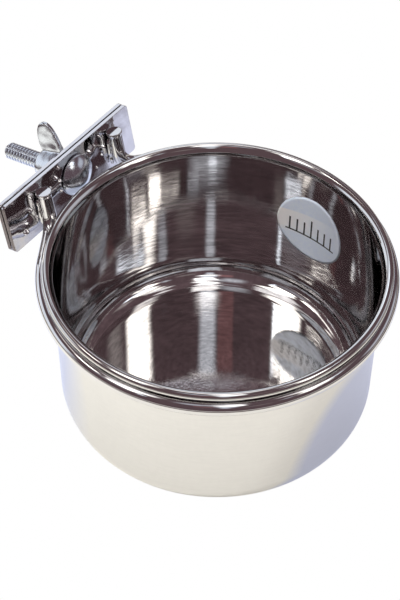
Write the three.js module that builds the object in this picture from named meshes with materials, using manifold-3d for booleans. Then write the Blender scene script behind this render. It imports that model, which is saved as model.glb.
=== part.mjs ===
// A 10 ounce steel feeding bowl of the kind that bolts to the bars of a cage or kennel.
// A pressed cup with a rolled rim hangs in a ring of bent wire. The wire's two ends stand up as
// legs, welded to a steel plate. A carriage bolt goes through that plate and a second, loose one,
// and a wing nut draws the two together on the bars.
// Millimetres, +Z up along the cup's axis, with the clamp at +Y. The origin is on the face of the
// welded plate that bears on the bars, level with the bolt and halfway out to the plate's far end.

import * as THREE from 'three';
import { mergeVertices } from 'three/addons/utils/BufferGeometryUtils.js';
import Module from 'manifold-3d';

const wasm = await Module();
wasm.setup();

// Cup, pressed from one disc of sheet
const cupHeight = 51.2;
const wallOuterRadius = 43.8;
const sheetThickness = 0.5;
const wallDraft = 0.3;
const cornerRadius = 8.3;
const flareRadius = 3.6;
const beadRadius = 1.15;
const flareAngle = THREE.MathUtils.degToRad(48);
const curlAngle = THREE.MathUtils.degToRad(245);

// Round capacity label on the inside of the wall
const labelDiameter = 22.6;
const labelThickness = 0.2;
const labelGap = 0.1;
const labelDepthBelowRim = 22.2;
const labelAzimuth = THREE.MathUtils.degToRad(-1.9);

// Wire ring with two legs
const wireDiameter = 4;
const ringClearance = 0.35;
const legSpacing = 30.2;
const legClearance = 0.35;
const bendRadius = 5;
const bracketOffset = 1.4;
const bracketYaw = THREE.MathUtils.degToRad(1.1);
const bracketLean = THREE.MathUtils.degToRad(10.5);

// Clamp plates
const plateLength = 52;
const plateHeight = 15.3;
const plateThickness = 1.2;
const plateCornerRadius = 0.9;
const plateShift = 1.7;
const plateGap = 0.4;
const wireAbovePlateFoot = 1.4;
const legTopBelowPlate = 2.3;

// Carriage bolt
const boltDiameter = 4.8;
const boltLength = 25.8;
const boltHeadDiameter = 11.9;
const boltHeadHeight = 2.6;
const boltNeckLength = 2.4;
const boltEndChamfer = 0.6;

// Wing nut
const nutHeight = 9.2;
const nutBaseDiameter = 10.6;
const nutTopDiameter = 7.6;
const nutFootHeight = 1.6;
const wingSpan = 26.4;
const wingThickness = 1.8;
const wingRise = 9.8;
const nutTurn = THREE.MathUtils.degToRad(9);

// Outline of a wing: each point is a share of the wing's reach and a share of its rise
const wingRootShares = [0.2, 0.04];
const wingCurveShares = [
  [[0.62, 0.16], [0.98, 0.42], [1, 0.7]],
  [[1, 0.9], [0.86, 1], [0.68, 1]],
  [[0.48, 1], [0.36, 0.86], [0.2, 0.72]],
];

// Gap left wherever one piece rests on another or passes through it
const seatGap = 0.3;

// How far every cutting tool runs past what it cuts
const cutOverrun = 2;

// Corners closer than this are taken as one when a solid is made
const weldDistance = 0.0001;

// Numbers of faces
const cupSides = 72;
const cornerSteps = 7;
const flareSteps = 4;
const curlSteps = 10;
const wireSides = 12;
const ringSteps = 56;
const bendSteps = 6;
const roundSides = 24;
const labelSides = 48;
const domeSteps = 5;
const outlineSteps = 5;

// Sizes that follow from those above
const wireRadius = wireDiameter / 2;
const halfSheet = sheetThickness / 2;
const curlMidRadius = beadRadius - halfSheet;
const wallMidRadius = wallOuterRadius - halfSheet;
const beadShift = (flareRadius - curlMidRadius) * (1 - Math.cos(flareAngle)) + curlMidRadius;
const beadCentreRadius = wallMidRadius + beadShift;
const beadCentreHeight = cupHeight - beadRadius;
const creaseHeight = beadCentreHeight - (flareRadius - curlMidRadius) * Math.sin(flareAngle);
const ringRadius = wallOuterRadius + wireRadius + ringClearance;
const ringSeatDistance = beadRadius + wireRadius + seatGap;
const ringOffset = ringRadius - beadCentreRadius;
const ringHeight = beadCentreHeight - Math.sqrt(ringSeatDistance ** 2 - ringOffset ** 2);
const legReach = beadCentreRadius + beadRadius + wireRadius + legClearance;
const nearLegX = legSpacing / 2 - bracketOffset;
const beadAboveRing = beadCentreHeight - ringHeight;
const legY = Math.sqrt(legReach ** 2 - nearLegX ** 2) - beadAboveRing * Math.tan(bracketLean);
const plateFace = wireRadius + seatGap;
const plateMiddle = plateHeight / 2 - wireAbovePlateFoot;
const squareHole = boltDiameter + 2 * seatGap;
const clampPlateFace = plateFace + plateThickness + plateGap;
const nutFace = clampPlateFace + plateThickness + seatGap;

// Materials
const polishedSteel = new THREE.MeshStandardMaterial({ color: 0xb9b4b2, roughness: 0.12, metalness: 1 });
const platedWire = new THREE.MeshStandardMaterial({ color: 0xa9adb3, roughness: 0.18, metalness: 1 });
const platedSheet = new THREE.MeshStandardMaterial({ color: 0xb4bcc6, roughness: 0.2, metalness: 1 });
const platedHardware = new THREE.MeshStandardMaterial({ color: 0xaab0b8, roughness: 0.3, metalness: 1 });
const silverLabel = new THREE.MeshStandardMaterial({ color: 0xc3cad8, roughness: 0.5, metalness: 0.1 });

// The bracket's own axes: X runs along the plates, Y outwards along the bolt and Z up the legs
const bracketGroup = new THREE.Group();
bracketGroup.position.set(bracketOffset, legY, ringHeight);
bracketGroup.rotation.set(-bracketLean, 0, bracketYaw, 'ZXY');
bracketGroup.updateMatrix();

// Solids for cutting and joining
function toSolid(geometry) {
  const bare = geometry.clone();
  bare.deleteAttribute('normal');
  bare.deleteAttribute('uv');
  const merged = mergeVertices(bare, weldDistance);
  const mesh = new wasm.Mesh({
    numProp: 3,
    vertProperties: new Float32Array(merged.attributes.position.array),
    triVerts: new Uint32Array(merged.index.array),
  });
  mesh.merge();
  return new wasm.Manifold(mesh);
}

function toGeometry(solid) {
  const mesh = solid.getMesh();
  const geometry = new THREE.BufferGeometry();
  geometry.setAttribute('position', new THREE.BufferAttribute(new Float32Array(mesh.vertProperties), 3));
  geometry.setIndex(new THREE.BufferAttribute(new Uint32Array(mesh.triVerts), 1));
  geometry.computeVertexNormals();
  return geometry;
}

function namedMesh(name, geometry, material) {
  const mesh = new THREE.Mesh(geometry, material.clone());
  mesh.name = name;
  return mesh;
}

// A profile turned about Z; its second coordinate is the height
function turnedAboutZ(profile, sides) {
  const geometry = new THREE.LatheGeometry(profile, sides);
  geometry.rotateX(Math.PI / 2);
  return geometry;
}

// The same about Y, for pieces on the bolt; its second coordinate runs outwards along the bolt
function turnedAboutY(profile, sides) {
  return new THREE.LatheGeometry(profile, sides);
}

// The middle line of a bent sheet: straight runs and arcs, each starting where the last one ended.
// The heading is measured from the profile's outward axis; a negative turn is clockwise.
function walkMiddleLine(start, runs) {
  const stations = [];
  let point = start.clone();
  let heading = 0;
  const record = () => {
    const normal = new THREE.Vector2(-Math.sin(heading), Math.cos(heading));
    stations.push({ point: point.clone(), normal });
  };
  record();
  for (const run of runs) {
    if (run.to) {
      const direction = run.to.clone().sub(point);
      heading = direction.angle();
      point = run.to.clone();
      record();
      continue;
    }
    const side = Math.sign(run.turn);
    const centre = new THREE.Vector2(-Math.sin(heading), Math.cos(heading));
    centre.multiplyScalar(side * run.radius).add(point);
    for (let step = 1; step <= run.steps; step += 1) {
      point = point.clone().rotateAround(centre, run.turn / run.steps);
      heading += run.turn / run.steps;
      record();
    }
  }
  return stations;
}

// Both faces of a sheet, as one profile from the axis and back to it
function sheetProfile(stations, thickness) {
  const offset = (station, distance) => station.point.clone().addScaledVector(station.normal, distance);
  const outside = stations.map((station) => offset(station, -thickness / 2));
  const inside = stations.map((station) => offset(station, thickness / 2));
  return [...outside, ...inside.reverse()];
}

// Cup: floor, rounded corner, wall with a little draft, flare and rolled bead
function makeCup() {
  const footRadius = wallMidRadius - wallDraft;
  const cornerMidRadius = cornerRadius - halfSheet;
  const stations = walkMiddleLine(new THREE.Vector2(0, halfSheet), [
    { to: new THREE.Vector2(footRadius - cornerMidRadius, halfSheet) },
    { radius: cornerMidRadius, turn: Math.PI / 2, steps: cornerSteps },
    { to: new THREE.Vector2(wallMidRadius, creaseHeight) },
    { radius: flareRadius, turn: -flareAngle, steps: flareSteps },
    { radius: curlMidRadius, turn: -curlAngle, steps: curlSteps },
  ]);
  const profile = sheetProfile(stations, sheetThickness);
  profile[0].x = 0;
  profile[profile.length - 1].x = 0;
  return namedMesh('cup', turnedAboutZ(profile, cupSides), polishedSteel);
}

// The wall's inner radius, which grows a little from the rounded corner up to the flare
function wallInnerRadiusAt(height) {
  const dropShare = (creaseHeight - height) / (creaseHeight - cornerRadius);
  return wallOuterRadius - sheetThickness - wallDraft * dropShare;
}

// Label: a round patch of a thin shell just inside the wall, with the wall's own faces
function makeLabel() {
  const middle = cupHeight - labelDepthBelowRim;
  const foot = middle - labelDiameter / 2 - cutOverrun;
  const top = middle + labelDiameter / 2 + cutOverrun;
  const shellAt = (height, depth) => new THREE.Vector2(wallInnerRadiusAt(height) - depth, height);
  const frontDepth = labelGap + labelThickness;
  const shell = turnedAboutZ([
    shellAt(foot, frontDepth),
    shellAt(foot, labelGap),
    shellAt(top, labelGap),
    shellAt(top, frontDepth),
    shellAt(foot, frontDepth),
  ], cupSides);
  const punchLength = wallOuterRadius + cutOverrun;
  const punch = new THREE.CylinderGeometry(labelDiameter / 2, labelDiameter / 2, punchLength, labelSides);
  punch.rotateZ(Math.PI / 2);
  punch.translate(punchLength / 2, 0, middle);
  punch.rotateZ(labelAzimuth);
  const patch = toSolid(shell).intersect(toSolid(punch));
  return namedMesh('capacity_label', toGeometry(patch), silverLabel);
}

// A path given station by station, so that bends get close steps and long runs get few
class StationPath extends THREE.Curve {
  constructor(stations) {
    super();
    this.stations = stations;
  }

  station(share) {
    return this.stations[Math.round(share * (this.stations.length - 1))];
  }

  getPoint(share) {
    return this.station(share).point.clone();
  }

  getPointAt(share) {
    return this.getPoint(share);
  }

  getTangentAt(share) {
    return this.station(share).direction.clone();
  }
}

// Stations round a rounded corner between two straight directions
function bendStations(corner, directionIn, directionOut) {
  const turn = directionIn.angleTo(directionOut);
  const setBack = bendRadius * Math.tan(turn / 2);
  const axis = new THREE.Vector3().crossVectors(directionIn, directionOut).normalize();
  const start = corner.clone().addScaledVector(directionIn, -setBack);
  const towardsCentre = new THREE.Vector3().crossVectors(axis, directionIn);
  const centre = start.clone().addScaledVector(towardsCentre, bendRadius);
  const stations = [];
  for (let step = 0; step <= bendSteps; step += 1) {
    const angle = (turn * step) / bendSteps;
    const point = start.clone().sub(centre).applyAxisAngle(axis, angle).add(centre);
    stations.push({ point, direction: directionIn.clone().applyAxisAngle(axis, angle) });
  }
  return stations;
}

// One leg's end of the ring wire, from the round part up to the leg's top; side is -1 or 1.
// The wire leaves the round part along its tangent, so that the leg stands clear of the bead.
function legEnd(side) {
  const legUp = new THREE.Vector3(0, 0, 1).transformDirection(bracketGroup.matrix);
  const legLength = plateHeight - wireAbovePlateFoot - legTopBelowPlate;
  const corner = new THREE.Vector3((side * legSpacing) / 2, 0, 0).applyMatrix4(bracketGroup.matrix);
  const reach = Math.hypot(corner.x, corner.y);
  const tangentAngle = Math.atan2(side * corner.x, corner.y) + Math.acos(ringRadius / reach);
  const intoLeg = corner.clone().sub(ringPoint(side * tangentAngle)).normalize();
  const stations = bendStations(corner, intoLeg, legUp);
  stations.push({ point: corner.clone().addScaledVector(legUp, legLength), direction: legUp });
  return { tangentAngle, stations };
}

// A point of the ring's round part; the angle runs from +Y towards +X
function ringPoint(angle) {
  return new THREE.Vector3(ringRadius * Math.sin(angle), ringRadius * Math.cos(angle), ringHeight);
}

// The ring's middle line, from the left leg's top round the cup to the right leg's top
function ringStations() {
  const left = legEnd(-1);
  const right = legEnd(1);
  const leftStations = left.stations.reverse().map(({ point, direction }) => ({
    point,
    direction: direction.clone().negate(),
  }));
  const sweep = 2 * Math.PI - left.tangentAngle - right.tangentAngle;
  const roundStations = [];
  for (let step = 0; step <= ringSteps; step += 1) {
    const angle = -left.tangentAngle - (sweep * step) / ringSteps;
    const direction = new THREE.Vector3(-Math.cos(angle), Math.sin(angle), 0);
    roundStations.push({ point: ringPoint(angle), direction });
  }
  return [...leftStations, ...roundStations, ...right.stations];
}

function makeRing() {
  const section = new THREE.Shape();
  for (let side = 0; side < wireSides; side += 1) {
    const angle = (2 * Math.PI * (side + 1 / 2)) / wireSides;
    const x = wireRadius * Math.cos(angle);
    const y = wireRadius * Math.sin(angle);
    if (side === 0) section.moveTo(x, y);
    else section.lineTo(x, y);
  }
  section.closePath();
  const path = new StationPath(ringStations());
  const geometry = new THREE.ExtrudeGeometry(section, {
    steps: path.stations.length - 1,
    extrudePath: path,
    bevelEnabled: false,
  });
  return namedMesh('ring_wire', geometry, platedWire);
}

// Clamp plates: a stamped strip with round corners and a square hole for the bolt's neck
function plateOutline() {
  const left = -plateLength / 2 - plateShift;
  const right = plateLength / 2 - plateShift;
  const foot = -plateHeight / 2;
  const top = plateHeight / 2;
  const corner = plateCornerRadius;
  const outline = new THREE.Shape();
  outline.moveTo(left + corner, foot);
  outline.lineTo(right - corner, foot);
  outline.absarc(right - corner, foot + corner, corner, -Math.PI / 2, 0, false);
  outline.lineTo(right, top - corner);
  outline.absarc(right - corner, top - corner, corner, 0, Math.PI / 2, false);
  outline.lineTo(left + corner, top);
  outline.absarc(left + corner, top - corner, corner, Math.PI / 2, Math.PI, false);
  outline.lineTo(left, foot + corner);
  outline.absarc(left + corner, foot + corner, corner, Math.PI, (3 * Math.PI) / 2, false);
  const half = squareHole / 2;
  const hole = new THREE.Path();
  hole.moveTo(-half, -half);
  hole.lineTo(-half, half);
  hole.lineTo(half, half);
  hole.lineTo(half, -half);
  hole.closePath();
  outline.holes.push(hole);
  return outline;
}

function makePlate(name, faceDistance) {
  const geometry = new THREE.ExtrudeGeometry(plateOutline(), {
    depth: plateThickness,
    curveSegments: outlineSteps,
    bevelEnabled: false,
  });
  geometry.rotateX(Math.PI / 2);
  geometry.translate(0, faceDistance + plateThickness, plateMiddle);
  return namedMesh(name, geometry, platedSheet);
}

// Carriage bolt: low domed head, square neck, round shank with a chamfered end
function makeBolt() {
  const headRadius = boltHeadDiameter / 2;
  const shankRadius = boltDiameter / 2;
  const domeRadius = (headRadius ** 2 + boltHeadHeight ** 2) / (2 * boltHeadHeight);
  const domeAngle = Math.asin(headRadius / domeRadius);
  const profile = [];
  for (let step = 0; step <= domeSteps; step += 1) {
    const angle = (domeAngle * step) / domeSteps;
    const lift = domeRadius * (Math.cos(angle) - Math.cos(domeAngle));
    profile.push(new THREE.Vector2(domeRadius * Math.sin(angle), -lift));
  }
  profile.push(new THREE.Vector2(shankRadius, 0));
  profile.push(new THREE.Vector2(shankRadius, boltLength - boltEndChamfer));
  profile.push(new THREE.Vector2(shankRadius - boltEndChamfer, boltLength));
  profile.push(new THREE.Vector2(0, boltLength));
  profile[0].x = 0;
  const turned = toSolid(turnedAboutY(profile, roundSides));
  const neckDepth = boltNeckLength + boltHeadHeight / 2;
  const neckBlock = new THREE.BoxGeometry(boltDiameter, neckDepth, boltDiameter);
  neckBlock.translate(0, boltNeckLength - neckDepth / 2, 0);
  const bolt = toGeometry(turned.add(toSolid(neckBlock)));
  bolt.translate(0, plateFace - seatGap, plateMiddle);
  return namedMesh('carriage_bolt', bolt, platedHardware);
}

// One wing in the plane of the bolt: a leaf that leans away from the plates
function wingOutline() {
  const at = ([reachShare, riseShare]) => [(reachShare * wingSpan) / 2, riseShare * wingRise];
  const outline = new THREE.Shape();
  outline.moveTo(...at(wingRootShares));
  for (const curve of wingCurveShares) {
    outline.bezierCurveTo(...curve.flatMap(at));
  }
  outline.closePath();
  return outline;
}

function makeWing() {
  const geometry = new THREE.ExtrudeGeometry(wingOutline(), {
    depth: wingThickness,
    curveSegments: outlineSteps,
    bevelEnabled: false,
  });
  geometry.translate(0, 0, -wingThickness / 2);
  return geometry;
}

// Wing nut: a tapered hub with a low foot, two wings and a bore that clears the bolt
function makeWingNut() {
  const baseRadius = nutBaseDiameter / 2;
  const topRadius = nutTopDiameter / 2;
  const hub = turnedAboutY([
    new THREE.Vector2(0, 0),
    new THREE.Vector2(baseRadius, 0),
    new THREE.Vector2(baseRadius, nutFootHeight),
    new THREE.Vector2(topRadius, nutHeight),
    new THREE.Vector2(0, nutHeight),
  ], roundSides);
  const boreRadius = boltDiameter / 2 + seatGap;
  const bore = turnedAboutY([
    new THREE.Vector2(0, -cutOverrun),
    new THREE.Vector2(boreRadius, -cutOverrun),
    new THREE.Vector2(boreRadius, nutHeight + cutOverrun),
    new THREE.Vector2(0, nutHeight + cutOverrun),
  ], roundSides);
  const wing = makeWing();
  const otherWing = wing.clone().rotateY(Math.PI);
  let nut = toSolid(hub).add(toSolid(wing)).add(toSolid(otherWing));
  nut = nut.subtract(toSolid(bore));
  const geometry = toGeometry(nut);
  geometry.rotateY(nutTurn - Math.PI / 2);
  geometry.translate(0, nutFace, plateMiddle);
  return namedMesh('wing_nut', geometry, platedHardware);
}

const cupGroup = new THREE.Group();
cupGroup.add(makeCup(), makeLabel());

bracketGroup.add(
  makePlate('holder_plate', plateFace),
  makeBolt(),
  makePlate('clamp_plate', clampPlateFace),
  makeWingNut(),
);

// The point of the welded plate's bearing face that everything is placed from
const originX = -(plateLength / 2 + plateShift + squareHole / 2) / 2;
const originPoint = new THREE.Vector3(originX, plateFace + plateThickness, plateMiddle);
originPoint.applyMatrix4(bracketGroup.matrix);

const bowl = new THREE.Group();
bowl.add(cupGroup, makeRing(), bracketGroup);
bowl.position.copy(originPoint).negate();

export default bowl;
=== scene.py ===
import math

import bmesh
import bpy
import numpy as np
from mathutils import Matrix, Vector, noise


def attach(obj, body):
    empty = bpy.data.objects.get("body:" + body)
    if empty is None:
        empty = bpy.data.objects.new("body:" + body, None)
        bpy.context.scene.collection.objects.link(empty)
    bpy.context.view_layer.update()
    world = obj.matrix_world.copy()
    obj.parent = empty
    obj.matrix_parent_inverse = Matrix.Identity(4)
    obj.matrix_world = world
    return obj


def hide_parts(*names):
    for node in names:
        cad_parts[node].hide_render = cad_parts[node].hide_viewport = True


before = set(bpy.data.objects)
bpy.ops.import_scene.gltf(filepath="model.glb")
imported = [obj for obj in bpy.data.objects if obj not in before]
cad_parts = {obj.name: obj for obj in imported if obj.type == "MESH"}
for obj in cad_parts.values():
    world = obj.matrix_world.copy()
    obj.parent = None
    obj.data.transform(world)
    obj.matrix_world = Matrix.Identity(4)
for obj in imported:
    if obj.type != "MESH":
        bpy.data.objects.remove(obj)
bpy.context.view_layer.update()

MM = 0.001

# Places of the cup and of the clamp's own axes in the row frame, in millimetres
CUP = Vector((13.885, -50.549, -52.203))
BRACKET = Vector((15.285, -4.288, -5.508))
ALONG = Vector((0.999816, 0.019197, 0.0))
OUT = Vector((-0.018876, 0.983074, -0.182236))
UP = Vector((-0.003498, 0.182202, 0.983255))
BRACKET_AXES = Matrix((ALONG, OUT, UP)).transposed()
CUP_PLACE = Matrix.Translation(CUP * MM)
BRACKET_PLACE = Matrix.Translation(BRACKET * MM) @ BRACKET_AXES.to_4x4()

# Cup, measured from the middle of its underside
CUP_HEIGHT = 51.2
WALL_RADIUS = 43.8
SHEET = 0.5
DRAFT = 0.3
CORNER = 8.3
FLARE = 3.6
BEAD = 1.15
FLARE_ANGLE = math.radians(48)
CURL_ANGLE = math.radians(245)
CREASE_HEIGHT = CUP_HEIGHT - BEAD - (FLARE - (BEAD - SHEET / 2)) * math.sin(FLARE_ANGLE)
DIE_LINE_ANGLE = math.radians(18)
DIE_LINE_WIDTH = math.radians(3)
DIE_LINE_DEPTH = 0.07
INNER_SIDE_MARGIN = 0.45
CUP_SIDES = 256
FLOOR_STEPS, CORNER_STEPS, WALL_STEPS, FLARE_STEPS, CURL_STEPS = 10, 60, 8, 8, 28
SHEET_END_STEPS = 6

# Label
LABEL_RADIUS = 11.3
LABEL_HEIGHT = 29.0
LABEL_AZIMUTH = math.radians(-1.9)
LABEL_BACK, LABEL_FRONT = 0.02, 0.17
LABEL_EDGE_INSET = 0.05
LABEL_EDGE_DROP = 0.03
LABEL_RINGS, LABEL_SPOKES = 16, 96

# Ring wire
WIRE = 2.0
RING_RADIUS = 46.15
RING_HEIGHT = 46.696
LEG_HALF = 15.1
LEG_LENGTH = 11.6
LEG_BEND = 5.0
WIRE_SIDES = 32
RING_STEPS = 240
BEND_STEPS = 24
LEG_SHARES = (0.4, 0.8, 1.0)

# Cropped end of the wire, as distance in from the end and extra radius
CUT_END = [
    (1.4, 0.0), (0.95, 0.1), (0.65, 0.24), (0.3, 0.27),
    (0.06, 0.22), (0.0, 0.14), (0.0, 0.0), (0.0, -1.0),
]

# Plates, in the clamp's own axes
PLATE_LOW_X, PLATE_HIGH_X = -27.7, 24.3
PLATE_LOW_Z, PLATE_HIGH_Z = -1.4, 13.9
PLATE_MIDDLE = 6.25
PLATE_FACE = 2.3
PLATE = 1.2
PLATE_GAP = 0.4
PLATE_CORNER = 0.9
PLATE_EDGE = 0.1
PLATE_CORNER_STEPS = 8
PLATE_EDGE_STEPS = 4
HOLE = 5.4
HOLE_EDGE = 0.12
HOLE_CORNER_SHARE = 0.9
FLAT_ENOUGH = 0.999

# How far in from the ends of a strip the sheared look starts, and where it is full
SHEAR_START, SHEAR_FULL = 0.12, 0.04

# Weld fillets: how high they start and how far they run up a leg, and their place and section
WELD_START, WELD_LENGTH = 0.6, 8.6
WELD_FROM_LEG, WELD_FROM_AXIS = 1.45, 1.55
WELD_SIZE, WELD_LEAST = 0.95, 0.05
WELD_WIDE, WELD_HIGH, WELD_TILT = 0.75, 0.62, 0.2
WELD_EVEN, WELD_UNEVEN = 0.82, 0.5
WELD_SUNK = 0.02
WELD_STEPS, WELD_SIDES = 26, 12

# Drops of weld spatter, as x, z and size
SPATTER = [
    (6.3, 9.9, 0.75), (11.9, 7.9, 0.65), (8.6, 10.4, 0.45), (-7.9, 10.5, 0.75), (-6.6, 8.6, 0.6),
    (-6.1, 12.7, 0.6), (-19.2, 7.6, 0.7), (-22.5, 2.5, 0.85), (-12.2, 4.6, 0.5),
    (11.2, 11.8, 0.45), (17.4, 0.6, 0.65), (-6.9, 5.4, 0.45), (-17.6, 4.2, 0.6),
    (10.9, 5.6, 0.45), (-10.4, 8.9, 0.4), (18.4, 9.4, 0.4), (-18.2, 10.8, 0.4), (7.9, 3.2, 0.4),
]
DROP_HEIGHT, DROP_STRETCH = 0.75, 1.1
DROP_LEAN_X, DROP_LEAN_Z = 0.36, -0.8
DROP_FULLNESS = 0.3
DROP_UNEVEN = 0.45
DROP_SUNK = 0.03
DROP_RINGS, DROP_SIDES = 5, 16

# Bolt
BOLT = 2.4
BOLT_START = 2.0
BOLT_END = 27.8
PITCH = 25.4 / 24
THREAD_DEPTH = 0.55
THREAD_START = 0.6
THREAD_LEAD = 1.5
THREAD_ROOT, THREAD_FLANK = 0.12, 0.58
THREAD_EASE = 0.03
TIP_DROP, TIP_SLOPE = 0.8, 0.9
HEAD_RADIUS = 5.95
HEAD_HEIGHT = 2.6
HEAD_DOME_SHARE = 0.97
HEAD_RIM_TOP, HEAD_RIM_LOW, HEAD_EDGE = 0.2, 0.08, 0.1
NECK_LENGTH = 2.4
NECK_CORNER = 0.3
NECK_EASE = 0.01
NECK_OVERLAP = 0.2
SHANK_OVERLAP = 0.3
HEAD_SIDES, HEAD_STEPS = 64, 18
SHANK_SIDES, PITCH_STEPS = 48, 18

# Wing nut
NUT_FACE = 5.4
NUT_HEIGHT = 9.2
NUT_FOOT_RADIUS = 5.3
NUT_TOP_RADIUS = 3.8
NUT_FOOT_HEIGHT = 1.6
NUT_LOW = 0.05
NUT_FOOT_EDGE = 0.25
NUT_TOP_EDGE, NUT_TOP_EDGE_DROP = 0.2, 0.35
NUT_TURN = math.radians(9)
NUT_SIDES = 64
WING_REACH = 13.2
WING_RISE = 9.8
WING_THICK = 1.8
WING_TIP_SHARE, WING_ROOT_EXTRA = 0.62, 0.38
WING_CURVE_STEPS = 14
CAST_VOXEL = 0.24
CAST_SOFTNESS, CAST_PASSES = 0.5, 6
BORE_EASE = 0.06
BORE_OVERRUN = 2
BORE_SIDES = 48

# Outline of a wing: each point is a share of the wing's reach and a share of its rise
WING_ROOT = (0.2, 0.04)
WING_CURVES = [
    [(0.62, 0.16), (0.98, 0.42), (1, 0.7)],
    [(1, 0.9), (0.86, 1), (0.68, 1)],
    [(0.48, 1), (0.36, 0.86), (0.2, 0.72)],
]

# Range that a noise mostly stays in
NOISE_LOW, NOISE_HIGH = 0.3, 0.7

# Turned steel: strokes as stretch round the axis, fineness across it and detail
COARSE_STROKES, FINE_STROKES = (9.0, 1300.0, 3.0), (28.0, 3200.0, 2.0)
COARSE_SHARE, FINE_SHARE = 0.55, 0.13
BLOTCH_SCALE, PIT_SCALE, WAVE_SCALE = 60.0, 800.0, 45.0
PIT_SHARE = 0.1
WORN_BY_LINES = 0.75
STAIN_START, STAIN_END = 0.28, 0.44
SCRATCH_GLOSS = (0.7, 1.3)
DULL_FROM, DULL_GLOSS = 0.4, 0.3
LEAST_RADIUS = 0.0001

# Smooth steel, and the sheared ends of a strip
WEAR_SCALE, WEAR_SHADE = 120.0, 0.1
WEAR_GLOSS = (0.7, 1.35)
TORN_SCALE, TORN_GLOSS = 2600.0, 0.3
TORN_COLORS = ((0.10, 0.085, 0.085), (0.22, 0.19, 0.19))

# Silver film
FIBRE_SCALE, FIBRE_DEPTH = 900.0, 0.000004
FILM_GLOSS = (0.3, 0.42)
FILM_COLORS = ((0.76, 0.85, 1.0), (0.84, 0.92, 1.0))
# The shaded colour is painted shade, and the pale colour is a painted highlight.
FILM_PAINTED_SHADE, FILM_PAINTED_HIGHLIGHT = (0.42, 0.46, 0.55), (1.0, 0.99, 0.97)
INK = (0.012, 0.012, 0.016)

# Marks on the label, in millimetres from its middle
TICK_STEP = 2.4
TICK_WIDTH = 0.55
TICK_ROW = 8.5
TICK_LOW = -3.0
TICK_HIGH = 1.6
TICK_LONG = 3.4
LONG_TICK_EVERY = 5
LONG_TICK_REACH = 0.1
CELL_SHIFT = 20.5
BASE_LINE = 0.5
BASE_LINE_OVERLAP = 0.02
# The paler band across the label is a painted highlight.
BAND_TOP, BAND_TOP_FADE = 5.2, 0.5
BAND_LOW, BAND_LOW_FADE = -1.2, 3.0
BAND_SLOPE = 0.12
BAND_FAINT_AT, BAND_FULL_AT, BAND_FAINT = -7.0, 9.0, 0.1
# Painted shade that darkens the film towards one edge.
PAINTED_SHADE_START, PAINTED_SHADE_FULL_AT, PAINTED_SHADE_DEPTH = 2.0, -9.0, 0.45

# Marks on the paper, as places in millimetres seen from the camera and fades in metres from them.
# The marks beside and behind the bowl are its painted shadow, seen only in reflections.
SHADOW_BESIDE_PLACE, SHADOW_BESIDE_FADE = (31.4, -10.1), (0.0285, 0.0335)
SHADOW_BEHIND_PLACE, SHADOW_BEHIND_FADE = (0, 100), (0.112, 0.132)
PAPER_PLACE, PAPER_NARROW, PAPER_END = (-10, -30), 0.75, (0.108, 0.14)
ROOM_FADE, ROOM_LEAST = (0.2, 0.34), 0.25
CREAM_PAPER = ((0.94, 0.93, 0.855), (0.96, 0.95, 0.875))
# Colour of the painted shadow of the bowl on the paper, beside and behind it.
PAINTED_SHADOW_PAPER = (0.70, 0.745, 0.89)
DARK_ROOM = (0.068, 0.044, 0.049)
PAPER_GLOW, PAPER_SCALE = 0.22, 400.0

# The camera's direction over the bowl, which the lights and the paper's marks are placed from
VIEW_ANGLE = math.radians(-53.54)
VIEW_TURN = Matrix.Rotation(VIEW_ANGLE, 3, "Z")


def new_object(name, verts, faces, body, place=Matrix.Identity(4)):
    """A smooth mesh piece given in millimetres in the axes of its place, riding on one body."""
    mesh = bpy.data.meshes.new(name)
    mesh.from_pydata([tuple(Vector(v) * MM) for v in verts], [], faces)
    mesh.validate()
    work = bmesh.new()
    work.from_mesh(mesh)
    bmesh.ops.recalc_face_normals(work, faces=work.faces)
    work.to_mesh(mesh)
    work.free()
    for polygon in mesh.polygons:
        polygon.use_smooth = True
    piece = bpy.data.objects.new(name, mesh)
    bpy.context.scene.collection.objects.link(piece)
    piece.matrix_world = place
    if body:
        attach(piece, body)
    return piece


def join(target, others):
    """Adds the others' faces to the target's mesh and removes them."""
    work = bmesh.new()
    work.from_mesh(target.data)
    for other in others:
        work.from_mesh(other.data)
    work.to_mesh(target.data)
    work.free()
    for other in others:
        bpy.data.objects.remove(other)


def apply_modifiers(piece):
    """Bakes the piece's modifiers into its mesh."""
    graph = bpy.context.evaluated_depsgraph_get()
    mesh = bpy.data.meshes.new_from_object(piece.evaluated_get(graph))
    piece.modifiers.clear()
    piece.data = mesh


def around(count):
    """Angles that divide a full turn evenly."""
    return [2 * math.pi * i / count for i in range(count)]


def bands(rows):
    """Quads between each loop of points and the next."""
    faces = []
    for low, high in zip(rows, rows[1:]):
        for i in range(len(low)):
            j = (i + 1) % len(low)
            faces.append((low[i], low[j], high[j], high[i]))
    return faces


def fan(hub, loop):
    """Triangles between one point and a loop of points."""
    return [(hub, loop[i], loop[(i + 1) % len(loop)]) for i in range(len(loop))]


def lathe(profile, sides, put):
    """Points and faces of a closed profile turned about an axis.

    put(radius, height, angle) gives a point.
    """
    verts, faces, rows = [], [], []
    for radius, height in profile:
        if radius < 1e-6:
            rows.append([len(verts)])
            verts.append(put(0, height, 0))
        else:
            rows.append(range(len(verts), len(verts) + sides))
            verts += [put(radius, height, angle) for angle in around(sides)]
    for low, high in zip(rows, rows[1:]):
        for i in range(sides):
            j = (i + 1) % sides
            quad = [low[i % len(low)], low[j % len(low)], high[j % len(high)], high[i % len(high)]]
            corners = list(dict.fromkeys(quad))
            if len(corners) > 2:
                faces.append(corners)
    return verts, faces


def turned(radius, height, angle):
    """A turned point about the vertical axis."""
    return (radius * math.cos(angle), radius * math.sin(angle), height)


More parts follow.
